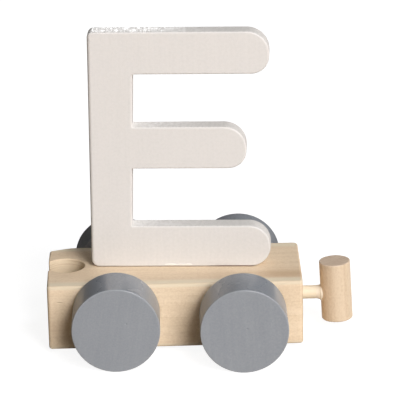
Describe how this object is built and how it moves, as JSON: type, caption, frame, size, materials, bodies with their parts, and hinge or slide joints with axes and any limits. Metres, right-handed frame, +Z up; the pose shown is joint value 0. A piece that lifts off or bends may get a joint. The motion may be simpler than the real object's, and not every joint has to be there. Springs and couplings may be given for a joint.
{
  "type": "letter train car",
  "caption": "Wooden toy train car with a painted letter standing on a block, wheel pairs that roll, a coupling peg at one end and an open coupling socket at the other.",
  "frame": {"origin": "on the floor, under the middle of the car's bounding box", "axes": "+Z up, +X towards the peg end, -Y towards the front of the letter"},
  "size_m": [0.0882, 0.063, 0.0914],
  "materials": {
    "block_wood": "sanded, unpainted, fine lengthwise grain",
    "peg_wood": "sanded, unpainted, upright grain with end grain on top",
    "dowel_wood": "turned, unpainted",
    "letter_paint": "painted off-white, semi-gloss, with grain showing through",
    "wheel_paint": "painted mid grey, satin, with grain showing through"
  },
  "bodies": {
    "car": {"chassis": "block_wood", "letter": "letter_paint", "letter_dowel_left": "dowel_wood", "letter_dowel_right": "dowel_wood", "coupling_neck": "dowel_wood", "coupling_peg": "peg_wood"},
    "wheel_pair_socket_end": {"axle_socket_end": "dowel_wood", "wheel_socket_end_front": "wheel_paint", "wheel_socket_end_back": "wheel_paint"},
    "wheel_pair_peg_end": {"axle_peg_end": "dowel_wood", "wheel_peg_end_front": "wheel_paint", "wheel_peg_end_back": "wheel_paint"}
  },
  "joints": [
    {"name": "roll_socket_end", "type": "hinge", "parent": "car", "child": "wheel_pair_socket_end", "pos_m": [-0.02455, 0, 0.0125], "axis": [0, 1, 0], "continuous": true},
    {"name": "roll_peg_end", "type": "hinge", "parent": "car", "child": "wheel_pair_peg_end", "pos_m": [0.01165, 0, 0.0125], "axis": [0, 1, 0], "continuous": true}
  ]
}
